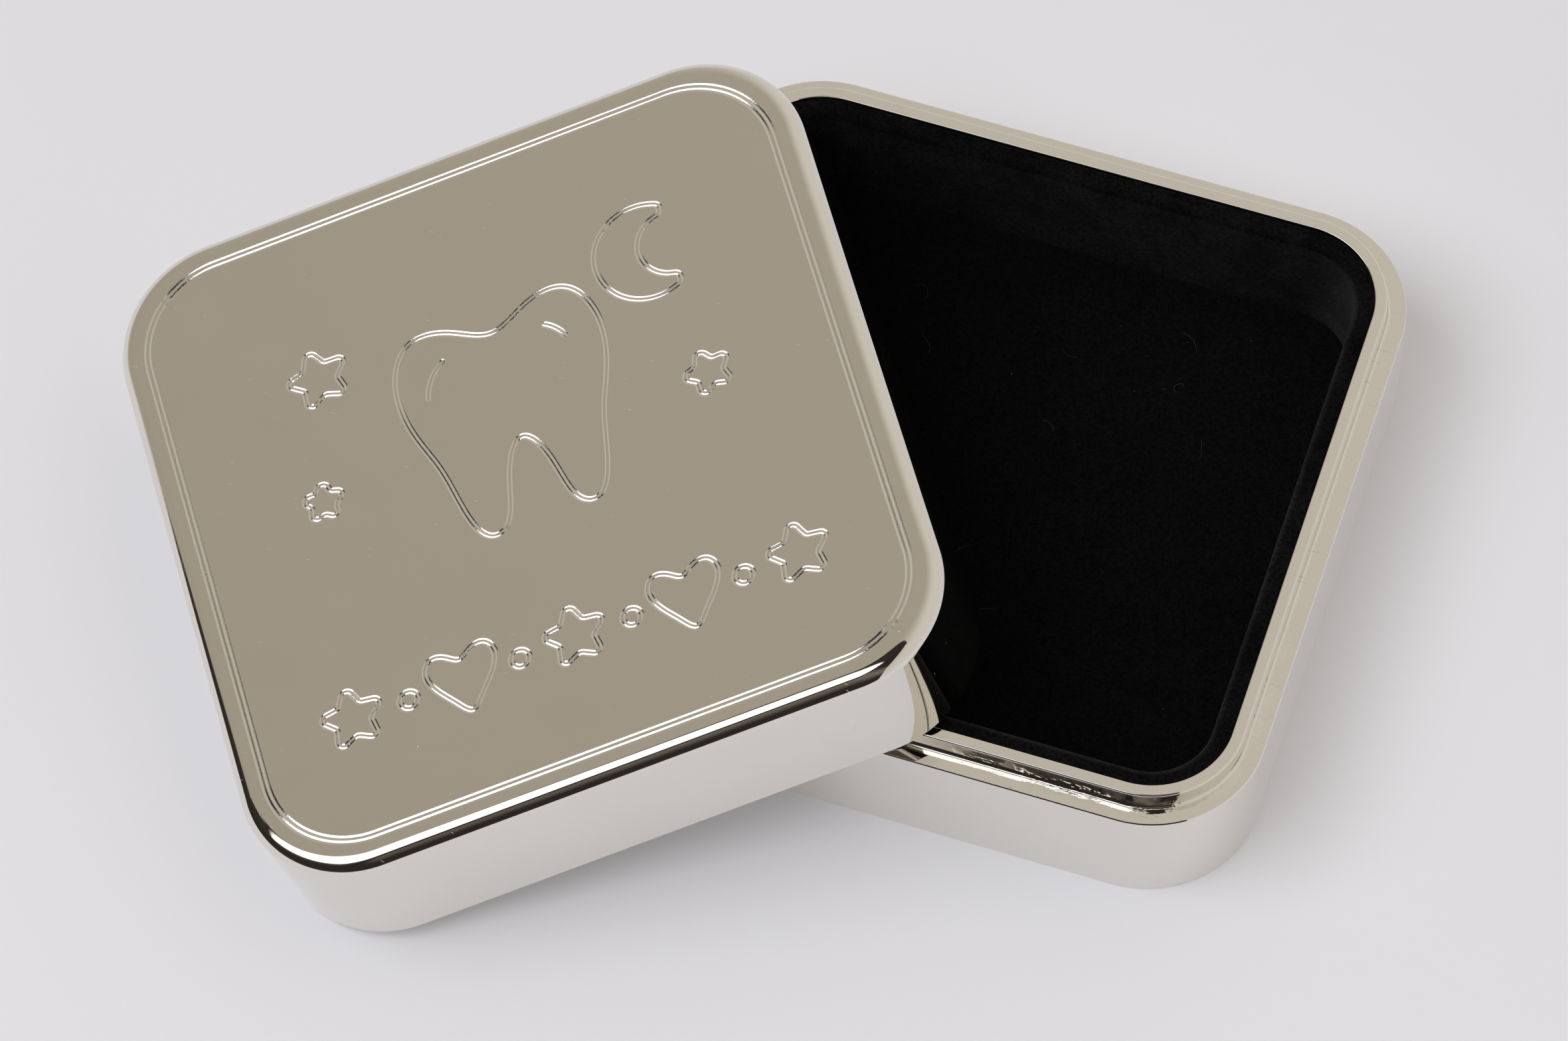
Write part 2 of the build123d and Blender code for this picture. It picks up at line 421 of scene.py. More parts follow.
def lint_fibres():
    """Pale cotton lint: the hairs and specks that black velvet always holds on to."""
    material, tree, place = new_material("cotton_lint")
    thick = add(tree, "ShaderNodeTexNoise", {"Vector": place, "Scale": 1 / (0.4 * MM), "Detail": 2.0})
    colour = add(tree, "ShaderNodeMix", {
        "Factor": thick, 6: linear("#242424"), 7: linear("#505050")}, data_type="RGBA")
    shader = add(tree, "ShaderNodeBsdfPrincipled", {
        "Base Color": colour.outputs[2], "Roughness": 0.9, "Specular IOR Level": 0.2})
    return show(material, shader)


def black_felt():
    """Pressed black wool felt: matt, with matted fibres in every direction and slightly uneven colour."""
    material, tree, place = new_material("black_wool_felt")
    fibres = add(tree, "ShaderNodeTexNoise", {
        "Vector": place, "Scale": 1 / (0.5 * MM), "Detail": 6.0, "Roughness": 0.75, "Distortion": 1.5})
    colour = add(tree, "ShaderNodeMix", {
        "Factor": fibres, 6: linear("#0C0C0D"), 7: linear("#232325")}, data_type="RGBA")
    bump = add(tree, "ShaderNodeBump", {"Strength": 0.8, "Distance": fibre_height * MM, "Height": fibres})
    shader = add(tree, "ShaderNodeBsdfPrincipled", {
        "Base Color": colour.outputs[2], "Roughness": 0.95, "Specular IOR Level": 0.15,
        "Sheen Weight": 0.1, "Sheen Roughness": 0.5, "Normal": bump})
    return show(material, shader)


def grey_card():
    """Grey lining card: pressed waste paper, with darker flecks and a soft, dry face."""
    material, tree, place = new_material("grey_lining_card")
    flecks = add(tree, "ShaderNodeTexNoise", {
        "Vector": place, "Scale": 1 / (0.8 * MM), "Detail": 5.0, "Roughness": 0.8})
    colour = add(tree, "ShaderNodeMix", {
        "Factor": flecks, 6: linear("#7C7A75"), 7: linear("#A5A29B")}, data_type="RGBA")
    bump = add(tree, "ShaderNodeBump", {"Strength": 0.6, "Distance": fleck_height * MM, "Height": flecks})
    shader = add(tree, "ShaderNodeBsdfPrincipled", {
        "Base Color": colour.outputs[2], "Roughness": 0.9, "Normal": bump})
    return show(material, shader)


# Engraving on the lid

border_half_width = 0.43
border_depth = 0.055
motif_half_width = 0.33
motif_depth = 0.038
stroke_columns = 13
border_spacing = 0.16
motif_spacing = 0.09

# The cutter chatters when it runs this way across the lid, in degrees from the lid's own X. Its ripples
# mostly cut deeper, by the sink, and elsewhere only a trace of them is left
chatter_heading = 36.0
chatter_spread = 15.0
chatter_height = 0.012
chatter_length = 0.26
chatter_elsewhere = 0.04
chatter_sink = 0.6


def mirrored_spline(right_half, count=1600):
    """A closed cubic B-spline, the same left and right, from the controls of its right half: each stretch
    mixes four controls in turn with the usual cubic weights."""
    controls = np.array(right_half + [(-x, y) for x, y in right_half[-2:0:-1]])
    along = np.arange(count) / count * len(controls)
    first = along.astype(int)
    t = (along - first)[:, None]
    weights = ((1 - t) ** 3, 3 * t ** 3 - 6 * t ** 2 + 4, -3 * t ** 3 + 3 * t ** 2 + 3 * t + 1, t ** 3)
    return sum(w / 6 * controls[(first + k) % len(controls)] for k, w in enumerate(weights))


def tooth_line(centre, height):
    """A milk tooth's outline: a low crown with two cusps over two short roots."""
    return np.array(centre) + height * mirrored_spline([
        (0.00, 0.33), (0.17, 0.47), (0.37, 0.50), (0.47, 0.30), (0.45, 0.06), (0.36, -0.14),
        (0.33, -0.36), (0.27, -0.56), (0.13, -0.53), (0.10, -0.26), (0.00, -0.08)])


def star_line(centre, radius, turned=90.0, waist_share=0.50, tip_radius=0.46):
    """A five-pointed star with rounded tips: spots alternate between the radius and the waist."""
    angle = np.radians(turned) + np.arange(10) * pi / 5
    reach = np.where(np.arange(10) % 2 == 0, radius, radius * waist_share)
    spots = np.stack([reach * np.cos(angle), reach * np.sin(angle)], axis=1)
    return np.array(centre) + rounded_line(spots, np.full(10, tip_radius), closed=True)[0]


def heart_line(centre, height):
    """A heart: two round lobes that meet in a soft dip, and a rounded point below."""
    return np.array(centre) + height * mirrored_spline([
        (0.00, 0.26), (0.22, 0.50), (0.50, 0.56), (0.66, 0.26), (0.50, -0.08), (0.24, -0.38),
        (0.00, -0.74)])


def moon_line(centre, radius, horn_radius=0.5):
    """A crescent moon: a large arc and a smaller one inside it, each drawn as short lines with corners so
    round that they meet, and joined by short blunt horns."""
    outer = np.radians(np.linspace(60, 300, 13))
    inner = np.radians(np.linspace(266, 94, 9))
    outer_spots = radius * np.stack([np.cos(outer), np.sin(outer)], axis=1)
    inner_spots = radius * (0.66 * np.stack([np.cos(inner), np.sin(inner)], axis=1) + [0.52, 0.0])
    radii = np.concatenate([np.full(13, 0.97 * radius), np.full(9, 0.62 * radius)])
    radii[[0, 12, 13, 21]] = horn_radius
    return np.array(centre) + rounded_line(np.vstack([outer_spots, inner_spots]), radii, closed=True)[0]


def arc_line(centre, radius, start, end):
    """A plain arc from one heading to another, in degrees."""
    angle = np.radians(np.linspace(start, end, 200))
    return np.array(centre) + radius * np.stack([np.cos(angle), np.sin(angle)], axis=1)


def smooth_noise(positions, length, seed):
    """Random heights at an even spacing of length, joined by half cosines; from -1 to 1."""
    knots = np.random.default_rng(seed).uniform(-1, 1, int(positions.max() / length) + 3)
    whole = (positions / length).astype(int)
    part = (1 - np.cos(pi * (positions / length - whole))) / 2
    return knots[whole] * (1 - part) + knots[whole + 1] * part


def way_along(points, closed):
    """The way that points run along their first axis, not yet of unit length."""
    if closed:
        return np.roll(points, -1, axis=0) - np.roll(points, 1, axis=0)
    return np.gradient(points, axis=0)


def engrave(sheet, line, closed, spacing, half_width, stroke_depth, seed):
    """Adds one engraved stroke to the lid's top and returns the loops of point indices round its edge.
    Across the stroke two raised-cosine channels lie side by side: the depth is stroke_depth times
    (1 - cos(2 pi |u|)) / 2, with u from -1 to 1. Where the cutter chatters, uneven ripples along the
    stroke are added, fading out at its edges. An open stroke ends in half circles."""
    line = spread_evenly(line, closed, spacing)
    run = np.linalg.norm(np.diff(line, axis=0, append=line[:1]), axis=1)
    run = np.concatenate([[0], np.cumsum(run)[:-1]])
    width = np.full(len(line), half_width)
    if not closed:
        from_end = np.minimum(run, run[-1] - run)
        width *= np.sqrt(1 - (1 - np.clip(from_end / half_width, 0.0, 1)) ** 2)
    ahead = way_along(line, closed)
    ahead /= np.linalg.norm(ahead, axis=1)[:, None]
    left = np.stack([-ahead[:, 1], ahead[:, 0]], axis=1)
    u = np.linspace(-1, 1, stroke_columns)
    plan = line[:, None] + left[:, None] * (u[None, :, None] * width[:, None, None])
    channel = (1 - np.cos(2 * pi * np.abs(u))) / 2
    fade = 1 - u ** 4
    heading = np.degrees(np.arctan2(ahead[:, 1], ahead[:, 0]))
    off = (heading - chatter_heading + 90) % 180 - 90
    chatter = chatter_elsewhere + np.exp(-(off / chatter_spread) ** 2)
    ripple = np.stack([smooth_noise(run, chatter_length, seed * 7 + k) for k in range(5)], axis=1)
    place = (u + 1) / 2 * 4
    first = np.minimum(place.astype(int), 3)
    rippled = ripple[:, first] * (1 - (place - first)) + ripple[:, first + 1] * (place - first)
    depth = stroke_depth * channel[None] * (width / half_width)[:, None]
    height = lid_height - depth + chatter_height * chatter[:, None] * (rippled - chatter_sink) * fade[None]
    height[:, [0, -1]] = lid_height
    points = np.concatenate([plan, height[..., None]], axis=2)
    normals = np.cross(np.gradient(points, axis=1), way_along(points, closed))
    normals /= np.maximum(np.linalg.norm(normals, axis=2), 1e-12)[..., None]
    normals *= np.where(normals[..., 2:] < 0, -1, 1)
    normals[:, [0, -1]] = (0, 0, 1)
    if closed:
        index = sheet.add_points(points, normals)
        sheet.add_faces(quads(len(line), stroke_columns, wrap_rows=True, wrap_columns=False,
                              start=index[0, 0]), 1)
        return [index[:, 0], index[:, -1]]
    index = sheet.add_points(points[1:-1], normals[1:-1])
    poles = sheet.add_points(points[[0, -1], 0], np.array([0.0, 0.0, 1.0]))
    sheet.add_faces(quads(len(line) - 2, stroke_columns, wrap_columns=False, start=index[0, 0]), 1)
    sheet.add_faces(fan(index[0], poles[0], wrap=False), 1)
    sheet.add_faces(fan(index[-1], poles[1], wrap=False), 1)
    return [np.concatenate([poles[:1], index[:, 0], poles[1:], index[::-1, -1]])]


def inside_loop(spots, loop):
    """Which spots lie inside a closed loop: a level line from each crosses it an odd number of times."""
    a, b = loop, np.roll(loop, -1, axis=0)
    x, y = spots[:, :1], spots[:, 1:]
    spans = (a[:, 1] > y) != (b[:, 1] > y)
    rise = np.where(np.abs(b[:, 1] - a[:, 1]) < 1e-12, 1e-12, b[:, 1] - a[:, 1])
    crossing = a[:, 0] + (y - a[:, 1]) / rise * (b[:, 0] - a[:, 0])
    return (spans & (x < crossing)).sum(axis=1) % 2 == 1


def fill_top(sheet, loops):
    """Fills the flat of the lid's top between the loops, which never cross, with triangles. A triangle is
    kept if its middle lies inside an odd number of loops, so strokes stay open and what they surround is
    closed."""
    points = np.concatenate(sheet.points)
    index = np.concatenate(loops)
    spots = points[index, :2]
    starts = np.cumsum([0] + [len(loop) for loop in loops])
    edges = [(start + k, start + (k + 1) % size)
             for start, size in zip(starts, np.diff(starts)) for k in range(size)]
    placed, _, triangles, sources, _, _ = delaunay_2d_cdt([Vector(s) for s in spots], edges, [], 0, 1e-7)
    triangles = np.array(triangles)
    origin = np.array([source[0] for source in sources])
    middles = np.array([tuple(spot) for spot in placed])[triangles].mean(axis=1)
    kept = np.zeros(len(triangles), int)
    for start, size in zip(starts, np.diff(starts)):
        kept += inside_loop(middles, spots[start:start + size])
    sheet.add_faces(index[origin[triangles[kept % 2 == 1]]], 0)


def motif_lines():
    """The lid's ornament, in the lid's own millimetres: a tooth with a gleam on it under a moon and stars,
    over a row of stars and hearts with small rings between them. Each item is a line and if it closes."""
    lines = [
        (tooth_line((0.5, 4.6), 19.5), True),
        (arc_line((-1.7, 7.4), 4.3, 118, 172), False),
        (arc_line((3.0, 7.9), 3.6, 20, 62), False),
        (moon_line((14.6, 14.0), 4.4), True),
        (star_line((-14.2, 13.6), 3.1, 97), True),
        (star_line((-16.6, 2.6), 2.2, 82), True),
        (star_line((16.6, 1.4), 2.5, 101), True),
    ]
    row_height = -17.0
    pitch = 9.6
    for k, kind in enumerate("star heart star heart star".split()):
        x = (k - 2) * pitch
        if kind == "star":
            lines.append((star_line((x, row_height), 3.1), True))
        else:
            lines.append((heart_line((x, row_height), 4.9), True))
        if k < 4:
            lines.append((arc_line((x + pitch / 2, row_height - 0.2), 0.75, 0, 358.2), True))
    return lines


# Pieces. A flat is closed from the ring at this inset to one point in its middle

flat_inset = 8.0


def add_wall(sheet, corners, stations, steps, closed=False, first=0):
    """Carries a profile round the plan from its point number first and returns the indices of its points.
    The profile is a line with rounded corners, each given as (minus inset, height, radius)."""
    profile, normals = rounded_line([c[:2] for c in corners], [c[2] for c in corners], closed, steps)
    wall = sheet.add_points(*carried(profile[first:], normals[first:], stations))
    sheet.add_faces(quads(*wall.shape, wrap_rows=closed, start=wall[0, 0]))
    return wall


def close_flat(sheet, ring, height, facing):
    """Closes a flat from its ring to its middle; it faces up at 1 and down at -1."""
    pole = sheet.add_points(np.array([[0.0, 0.0, height]]), np.array([0.0, 0.0, facing]))
    sheet.add_faces(fan(ring, pole[0]))


def build_lid(nickel, engraved):
    """Lid shell: rounded edge, skirt, foot, inside and ceiling as one profile carried round the plan, and
    the engraved flat of the top filled in inside it. The profile's first point only gives its heading."""
    sheet = Sheet()
    corners = [
        (-lid_edge_radius - 1, lid_height, 0), (0, lid_height, lid_edge_radius), (0, 0, edge_break),
        (-skirt_wall, 0, edge_break), (-skirt_wall, lid_ceiling, lid_inner_radius),
        (-flat_inset, lid_ceiling, 0)]
    shell = add_wall(sheet, corners, plan_stations(arc_steps=36, side_steps=16), steps=20, first=1)
    close_flat(sheet, shell[-1], lid_ceiling, -1.0)
    loops = [shell[0]]
    signs, outward = plan_stations(arc_steps=120, side_steps=40)
    border = (half_side - groove_inset - groove_corner_radius) * signs + groove_corner_radius * outward
    loops += engrave(sheet, border, True, border_spacing, border_half_width, border_depth, seed=3)
    for seed, (line, closed) in enumerate(motif_lines(), start=11):
        loops += engrave(sheet, line, closed, motif_spacing, motif_half_width, motif_depth, seed)
    fill_top(sheet, loops)
    return make_piece("lid_shell_engraved", sheet, LID_PLACE, [nickel, engraved])


# The lip's outer wall leans out by the draft, from just inside its nominal face to a rounded root, and the
# ledge falls a little from there to a narrow bevel at its outer edge
lip_top_drawn_in = 0.02
lip_draft = 0.09
lip_root_radius = 0.28
lip_inner_radius = 0.10
cavity_root_radius = 0.3
ledge_fall = 0.03
ledge_bevel_width = 0.07
bevel_radii = (0.02, 0.03)
foot_inner_radius = 0.08
recess_root_radius = 0.05


def build_base(nickel):
    """Base shell: floor, inner wall, lip, ledge, outer wall, foot rim and felt recess as one profile."""
    sheet = Sheet()
    corners = [
        (-flat_inset, base_floor_top, 0), (-cavity_inset, base_floor_top, cavity_root_radius),
        (-cavity_inset, base_height, lip_inner_radius),
        (-ledge_width - lip_top_drawn_in, base_height, lip_edge_radius),
        (-ledge_width + lip_draft, ledge_height, lip_root_radius),
        (-ledge_bevel_width, ledge_height - ledge_fall, bevel_radii[0]),
        (0, ledge_height - ledge_fall - edge_break, bevel_radii[1]), (0, 0, edge_break),
        (-foot_rim_width, 0, foot_inner_radius), (-foot_rim_width, felt_thickness, recess_root_radius),
        (-flat_inset, felt_thickness, 0)]
    shell = add_wall(sheet, corners, plan_stations(arc_steps=40, side_steps=16), steps=8)
    close_flat(sheet, shell[0], base_floor_top, 1.0)
    close_flat(sheet, shell[-1], felt_thickness, -1.0)
    return make_piece("base_shell_plated", sheet, BASE_PLACE, [nickel])


# The pile rounds the fold's inner edge more than the cloth under it does, and its fringe touches the lip
pile_edge_radius = 0.8
pile_outer_inset = cavity_inset + 0.01
pile_back_radius = 0.15
cloth_fold_radius = 0.05


def build_wall_velvet(velvet):
    """Wall lining: velvet down the card's face and rolled over its top, a closed profile carried round."""
    sheet = Sheet()
    corners = [
        (-wall_velvet_front, base_floor_top, cloth_fold_radius),
        (-wall_velvet_front, lining_top, pile_edge_radius),
        (-pile_outer_inset, lining_top, pile_back_radius),
        (-pile_outer_inset, wall_card_top, cloth_fold_radius),
        (-wall_velvet_back, wall_card_top, cloth_fold_radius),
        (-wall_velvet_back, base_floor_top, cloth_fold_radius)]
    add_wall(sheet, corners, plan_stations(arc_steps=32, side_steps=60), steps=8, closed=True)
    return make_piece("base_wall_velvet_lining", sheet, BASE_PLACE, [velvet])


# Lint: ranges of length and radius, how much it curls from step to step, and how far it bows up
hair_length, hair_radius, hair_curl = (0.9, 2.6), (0.009, 0.016), 0.12
speck_length, speck_radius, speck_curl = (0.15, 0.3), 0.035, 0.02
lint_bow = 0.12


def add_lint(sheet, height, number, sides=5):
    """One hair of lint on the floor's pile: a thin tube along a path whose heading drifts at random, which
    touches the pile at its ends and bows up a little between them. Every third one is only a speck."""
    chance = np.random.default_rng(50 + number)
    reach = half_side - floor_card_inset - 3
    steps = 24
    if number % 3 == 0:
        length, radius, curl = chance.uniform(*speck_length), speck_radius, speck_curl
    else:
        length, radius, curl = chance.uniform(*hair_length), chance.uniform(*hair_radius), hair_curl
    share = np.linspace(0, 1, steps)
    heading = chance.uniform(0, 2 * pi)
    heading = heading + np.cumsum(chance.normal(0, curl, steps) + chance.normal(0, curl * 2 / 3))
    along = np.stack([np.cos(heading), np.sin(heading), np.zeros(steps)], axis=1)
    across = along[:, [1, 0, 2]] * [-1, 1, 1]
    path = np.cumsum(along, axis=0) * length / steps
    path[:, :2] += chance.uniform(-reach, reach, 2)
    path[:, 2] = height + radius + lint_bow * length * share * (1 - share)
    round_angle = np.arange(sides) * 2 * pi / sides
    outward = (across[:, None] * np.cos(round_angle)[None, :, None]
               + np.array([0, 0, 1.0]) * np.sin(round_angle)[None, :, None])
    thin = radius * np.sqrt(np.clip(1 - (2 * share - 1) ** 8, 0.04, 1))[:, None, None]
    tube = sheet.add_points(path[:, None] + outward * thin, outward)
    sheet.add_faces(quads(steps, sides, start=tube[0, 0]), 1)
    ends = sheet.add_points(path[[0, -1]], along[[0, -1]] * [[-1], [1]])
    sheet.add_faces(fan(tube[0], ends[0]), 1)
    sheet.add_faces(fan(tube[-1], ends[1]), 1)


def build_pad(name, materials, place, inset, card_inset, near_face, card_face, back_face, lint_count=0):
    """Velvet over a flat card: the face, its rolled edge, and the turned-down sides, as one profile.
    Heights run from the velvet's near face through the card's face to what the pad lies on."""
    sheet = Sheet()
    corners = [
        (-flat_inset, near_face, 0), (-inset, near_face, lining_edge_radius),
        (-inset, back_face, cloth_fold_radius), (-card_inset, back_face, cloth_fold_radius),
        (-card_inset, card_face, cloth_fold_radius), (-flat_inset, card_face, 0)]
    if near_face < back_face:
        corners.reverse()
    ring = add_wall(sheet, corners, plan_stations(arc_steps=32, side_steps=40), steps=8)
    close_flat(sheet, ring[0], corners[0][1], 1.0)
    close_flat(sheet, ring[-1], corners[-1][1], -1.0)
    for number in range(lint_count):
        add_lint(sheet, near_face, number)
    return make_piece(name, sheet, place, materials)


felt_upper_radius = 0.1
felt_lower_radius = 0.15


def build_felt(felt):
    """Felt let into the underside: a thin sheet with softly rounded edges."""
    sheet = Sheet()
    inset = foot_rim_width + lining_clearance
    corners = [
        (-flat_inset, felt_thickness, 0), (-inset, felt_thickness, felt_upper_radius),
        (-inset, 0, felt_lower_radius), (-flat_inset, 0, 0)]
    ring = add_wall(sheet, corners, plan_stations(arc_steps=24, side_steps=24), steps=5)
    close_flat(sheet, ring[0], felt_thickness, 1.0)
    close_flat(sheet, ring[-1], 0.0, -1.0)
    return make_piece("base_felt_sole", sheet, BASE_PLACE, [felt])


# The base is pitted at the lip's root. The lid has no pits: its range lies below the table
base_nickel = nickel_plate(
    "nickel_plate_base", ledge_height - 0.006, ledge_height + 0.35, scratch_level=0.715)
lid_nickel = nickel_plate("nickel_plate_lid", -2.0, -1.0, scratch_level=0.77)
engraved = engraved_nickel()
floor_pile = black_velvet(
    "black_velvet_pile", "#070707", "#131313", "#1C1C1C", sheen=0.02, patch_contrast=0.15)
# The walls' velvet is the floor's cloth with lighter colours and a brighter painted sheen: the light that
# the walls catch is painted into this copy.
wall_pile_painted_lighter = black_velvet(
    "black_velvet_wall_pile", "#060606", "#161616", "#303030", sheen=0.03, patch_contrast=0.45)
lint = lint_fibres()
felt = black_felt()
card = grey_card()
for node in ("base_wall_card", "base_floor_card", "lid_card"):
    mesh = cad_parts[node].data
    mesh.materials.clear()
    mesh.materials.append(card)

dress(build_base(base_nickel), "base", "nickel_plate", "base_shell")
dress(build_felt(felt), "base", "black_felt", "base_felt")
wall_lining = build_wall_velvet(wall_pile_painted_lighter)
dress(wall_lining, "base", "black_velvet", "base_wall_velvet")
floor_pad = build_pad(
    "base_floor_velvet_pad", [floor_pile, lint], BASE_PLACE, floor_velvet_inset, floor_card_inset,
    floor_velvet_top, floor_card_top, base_floor_top, lint_count=26)
dress(floor_pad, "base", "black_velvet", "base_floor_velvet")
dress(build_lid(lid_nickel, engraved), "lid", "nickel_plate", "lid_shell")
lid_pad = build_pad(
    "lid_velvet_pad", [floor_pile], LID_PLACE, lid_velvet_inset, lid_card_inset,
    lid_velvet_bottom, lid_card_bottom, lid_ceiling)
dress(lid_pad, "lid", "black_velvet", "lid_velvet")


# Studio: a sheet of white card as the table, pale walls, one soft lamp and the dark room behind it

def rectangle(centre, across, up):
    """The corners of a rectangle given by its middle and its two half sides; its normal is across x up."""
    centre, across, up = (np.array(v, float) for v in (centre, across, up))
    return [centre - across - up, centre + across - up, centre + across + up, centre - across + up]


def flat_sheet(name, spots, material):
    """One flat face of the studio, with its corners at the spots."""
    mesh = bpy.data.meshes.new(name)
    mesh.from_pydata([tuple(p) for p in spots], [], [tuple(range(len(spots)))])
    mesh.materials.append(material)
    made = bpy.data.objects.new(name, mesh)
    bpy.context.scene.collection.objects.link(made)
    return made


# How much of its own pale colour the table shows to the eye and to the metal
table_seen_share = 0.24
table_mirrored_share = 0.34


def table_card():
    """Matt white card, a touch violet. The eye and the metal see part of it at its own pale colour whatever
    falls on it, so shadows stay light; it fades out past its near edge."""
    material, tree, place = new_material("white_card_table")
    tooth = add(tree, "ShaderNodeTexNoise", {"Vector": place, "Scale": 1 / (30 * MM), "Detail": 4.0})
    colour = add(tree, "ShaderNodeMix", {
        "Factor": tooth, 6: linear("#E0DFE4"), 7: linear("#E3E2E6")}, data_type="RGBA")
    lit = add(tree, "ShaderNodeBsdfDiffuse", {"Color": colour.outputs[2]})
    axes = add(tree, "ShaderNodeSeparateXYZ", {0: place})
    # Painted light: the glow that the eye and the metal see grows brighter towards the table's near side.
    nearness = add(tree, "ShaderNodeMapRange", {
        "Value": axes.outputs["Y"], "From Min": 0.05, "From Max": -0.06})
    tone = add(tree, "ShaderNodeMix", {
        "Factor": nearness, 6: linear("#DDDBDE"), 7: linear("#F1EFF2")}, data_type="RGBA")
    pale = add(tree, "ShaderNodeEmission", {"Color": tone.outputs[2]})
    ray = add(tree, "ShaderNodeLightPath")
    mirrored = add(tree, "ShaderNodeMath", {
        0: ray.outputs["Is Glossy Ray"], 1: table_mirrored_share}, operation="MULTIPLY")
    share = add(tree, "ShaderNodeMath", {
        0: ray.outputs["Is Camera Ray"], 1: table_seen_share, 2: mirrored}, operation="MULTIPLY_ADD")
    face = add(tree, "ShaderNodeMixShader", {0: share, 1: lit, 2: pale})
    clear = add(tree, "ShaderNodeBsdfTransparent")
    edge = add(tree, "ShaderNodeMapRange", {
        "Value": axes.outputs["Y"], "From Min": -0.125, "From Max": -0.095},
        interpolation_type="SMOOTHSTEP")
    blend = add(tree, "ShaderNodeMixShader", {0: edge, 1: clear, 2: face})
    return show(material, blend)


# The lamp's levels: on the box, as the metal mirrors it, its spill below, and its cloth where it is dark
lamp_strength = 4.6
lamp_mirrored_strength = 1.7
lamp_spill = 0.028
lamp_dark_level = 0.02


def lamp_cloth():
    """Lit white cloth of a soft lamp in a black frame: even in the middle, falling off towards its near
    edge and near right corner, with a faint spill below. Its map holds how far across and up a spot is.
    The metal mirrors it plainer than it lights the box, so what is cut into the metal still shows."""
    material, tree, place = new_material("soft_lamp_cloth", "UV")
    axes = add(tree, "ShaderNodeSeparateXYZ", {0: place})
    edges = {}
    for edge, axis, outside, inside in (
            ("left", "X", -0.48, -0.43), ("right", "X", 0.49, 0.46),
            ("low", "Y", -0.40, -0.27), ("high", "Y", 0.366, 0.33)):
        edges[edge] = add(tree, "ShaderNodeMapRange", {
            "Value": axes.outputs[axis], "From Min": outside, "From Max": inside},
            interpolation_type="SMOOTHSTEP")
    reach = add(tree, "ShaderNodeMapRange", {
        "Value": axes.outputs["Y"], "From Min": -0.82, "From Max": -0.39})
    spill = add(tree, "ShaderNodeMath", {0: reach, 1: 1.2}, operation="POWER")
    faint = add(tree, "ShaderNodeMath", {0: spill, 1: lamp_spill}, operation="MULTIPLY")
    slant = add(tree, "ShaderNodeMath", {
        0: axes.outputs["Y"], 1: -0.475, 2: axes.outputs["X"]}, operation="MULTIPLY_ADD")
    corner = add(tree, "ShaderNodeMapRange", {"Value": slant, "From Min": 0.45, "From Max": 0.40},
                 interpolation_type="SMOOTHSTEP")
    low = add(tree, "ShaderNodeMath", {0: edges["low"], 1: corner}, operation="MULTIPLY")
    share = add(tree, "ShaderNodeMath", {0: faint, 1: low}, operation="MAXIMUM")
    for edge in ("high", "left", "right"):
        share = add(tree, "ShaderNodeMath", {0: share, 1: edges[edge]}, operation="MULTIPLY")
    warm = add(tree, "ShaderNodeMix", {
        "Factor": share, 6: linear("#F2E2D0"), 7: linear("#F8FBFF")}, data_type="RGBA")
    ray = add(tree, "ShaderNodeLightPath")
    level_for_ray = add(tree, "ShaderNodeMapRange", {
        "Value": ray.outputs["Is Glossy Ray"], "To Min": lamp_strength, "To Max": lamp_mirrored_strength})
    power = add(tree, "ShaderNodeMath", {
        0: share, 1: level_for_ray, 2: lamp_dark_level}, operation="MULTIPLY_ADD")
    glow = add(tree, "ShaderNodeEmission", {"Color": warm.outputs[2], "Strength": power})
    return show(material, glow)


# The pool of light on the dark room's cloth
pool_strength = 0.15


def dark_cloth():
    """Matt black cloth: the unlit side of the room, seen only as a reflection. A faint pool of light lies
    on it to the right of the lamp."""
    material, tree, place = new_material("dark_room_cloth")
    axes = add(tree, "ShaderNodeSeparateXYZ", {0: place})
    rise = add(tree, "ShaderNodeMapRange", {"Value": axes.outputs["Z"], "From Min": 1.6, "From Max": 3.45})
    fall = add(tree, "ShaderNodeMapRange", {"Value": axes.outputs["Z"], "From Min": 4.9, "From Max": 4.0})
    right = add(tree, "ShaderNodeMapRange", {"Value": axes.outputs["X"], "From Min": -0.3, "From Max": 0.4})
    power = add(tree, "ShaderNodeMath", {0: rise, 1: 1.3}, operation="POWER")
    for limit in (fall, right, pool_strength):
        power = add(tree, "ShaderNodeMath", {0: power, 1: limit}, operation="MULTIPLY")
    shader = add(tree, "ShaderNodeBsdfDiffuse", {"Color": linear("#3A3532")})
    glow = add(tree, "ShaderNodeEmission", {"Color": linear("#FFF4E8"), "Strength": power})
    both = add(tree, "ShaderNodeAddShader", {0: shader, 1: glow})
    return show(material, both)


table_reach = 0.9
table_near = 0.13
table_middle = (0, table_reach - table_near, 0)
flat_sheet("table_card", rectangle(table_middle, (table_reach, 0, 0), (0, table_reach, 0)), table_card())

# The lamp, by the direction it is seen in from the box. Its frame's edges are slopes: how far to the right
# and up the frame reaches for each metre of distance
lamp_distance = 3.0
lamp_turn = radians(5)
frame_left, frame_right, frame_low, frame_high = -0.50, 0.56, -0.85, 0.36
lamp_toward = np.array([-0.423, -0.373, 0.826])
lamp_toward /= np.linalg.norm(lamp_toward)
level_across = np.array([0.778, -0.614, 0.133])
level_across -= lamp_toward * (level_across @ lamp_toward)
level_across /= np.linalg.norm(level_across)
level_up = np.cross(lamp_toward, level_across)
lamp_across = level_across * cos(lamp_turn) + level_up * sin(lamp_turn)
lamp_up = level_up * cos(lamp_turn) - level_across * sin(lamp_turn)
box_middle = np.array([-0.02, -0.01, 0.015])
frame_middle = (lamp_toward + lamp_across * (frame_left + frame_right) / 2
                + lamp_up * (frame_low + frame_high) / 2)
lamp_half_across = -lamp_across * (frame_right - frame_left) / 2 * lamp_distance
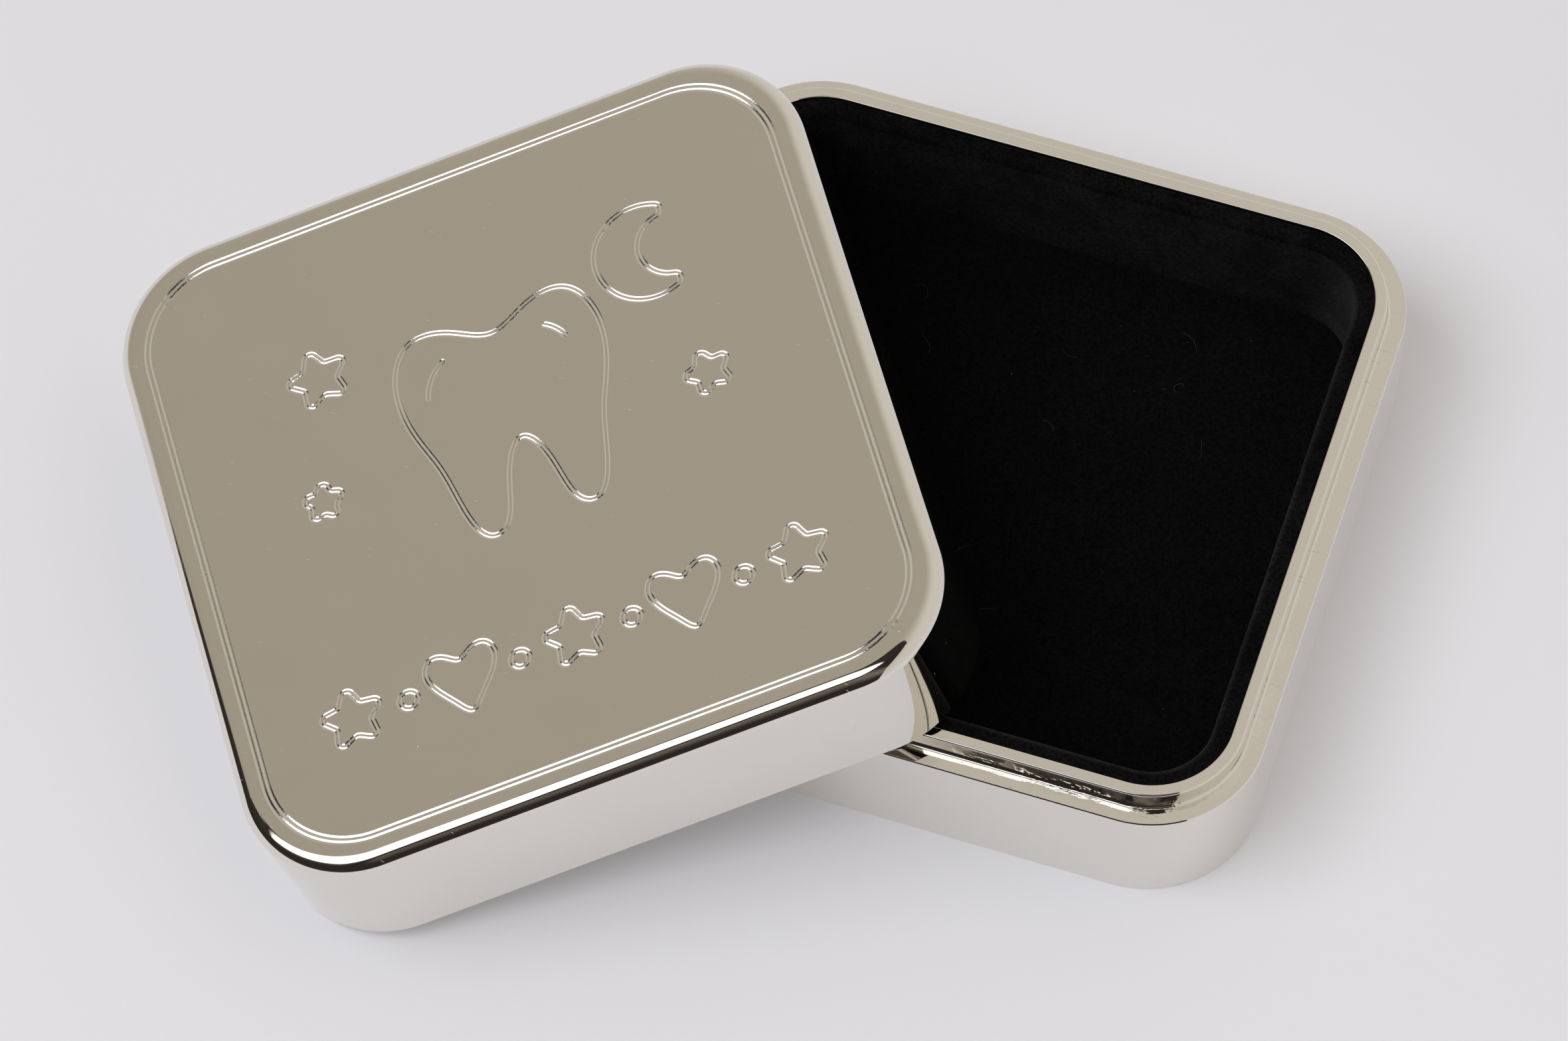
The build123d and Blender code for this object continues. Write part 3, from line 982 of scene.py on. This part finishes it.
lamp_half_up = lamp_up * (frame_high - frame_low) / 2 * lamp_distance
lamp_corners = rectangle(box_middle + frame_middle * lamp_distance, lamp_half_across, lamp_half_up)
lamp = flat_sheet("soft_lamp", lamp_corners, lamp_cloth())
lamp_map = lamp.data.uv_layers.new(name="slopes")
lamp_map.data.foreach_set("uv", [frame_right, frame_low, frame_left, frame_low,
                                 frame_left, frame_high, frame_right, frame_high])
lamp.visible_camera = False

# The dark room behind the lamp: its outline's corners and the way it faces, by compass heading and height
# in degrees
dark_corners = [(286, 65), (118, 69), (130, 50), (136, 30), (134, -16), (200, -16), (264, -16), (268, 25)]
dark_distance = 3.6
dark_facing = (208, 22)
heading, rise = np.radians(dark_corners + [dark_facing]).T
rays = np.stack([np.sin(heading) * np.cos(rise), np.cos(heading) * np.cos(rise), np.sin(rise)], axis=1)
dark_spots = box_middle + rays[:-1] * (dark_distance / (rays[:-1] @ rays[-1]))[:, None]
dark_room = flat_sheet("dark_room", dark_spots, dark_cloth())
dark_room.visible_camera = False


def studio_walls():
    """World light by direction: warm pale walls, brighter to the right than to the left and far side, over
    a pale floor that carries on where the table card ends."""
    world = bpy.data.worlds.new("studio_walls")
    bpy.context.scene.world = world
    world.use_nodes = True
    tree = world.node_tree
    tree.nodes.clear()
    toward = add(tree, "ShaderNodeTexCoord").outputs["Generated"]
    rightness = add(tree, "ShaderNodeVectorMath", {
        0: toward, 1: (0.80, 0.50, 0.0)}, operation="DOT_PRODUCT")
    share = add(tree, "ShaderNodeMapRange", {
        "Value": rightness.outputs["Value"], "From Min": -0.48, "From Max": 0.55},
        interpolation_type="SMOOTHSTEP")
    wall = add(tree, "ShaderNodeMix", {
        "Factor": share, 6: linear("#ACA497"), 7: linear("#DAD4CB")}, data_type="RGBA")
    axes = add(tree, "ShaderNodeSeparateXYZ", {0: toward})
    low = add(tree, "ShaderNodeMapRange", {
        "Value": axes.outputs["Z"], "From Min": 0.30, "From Max": 0.02}, interpolation_type="SMOOTHSTEP")
    colour = add(tree, "ShaderNodeMix", {
        "Factor": low, 6: wall.outputs[2], 7: linear("#DDD8D8")}, data_type="RGBA")
    light = add(tree, "ShaderNodeBackground", {"Color": colour.outputs[2]})
    add(tree, "ShaderNodeOutputWorld", {"Surface": light})


studio_walls()

# Camera: where it stood and how it was turned, solved from the box's straight edges in the photograph
camera_data = bpy.data.cameras.new("camera")
camera_data.sensor_width = 36.0
camera_data.lens = 192.5
camera_data.clip_end = 100.0
camera = bpy.data.objects.new("camera", camera_data)
camera.location = (0.089380, -0.332399, 0.608831)
camera.rotation_euler = (radians(29.3873), radians(-0.0840), radians(17.9244))
bpy.context.scene.collection.objects.link(camera)
bpy.context.scene.camera = camera
bpy.context.scene.view_settings.view_transform = "Standard"

bpy.context.view_layer.update()
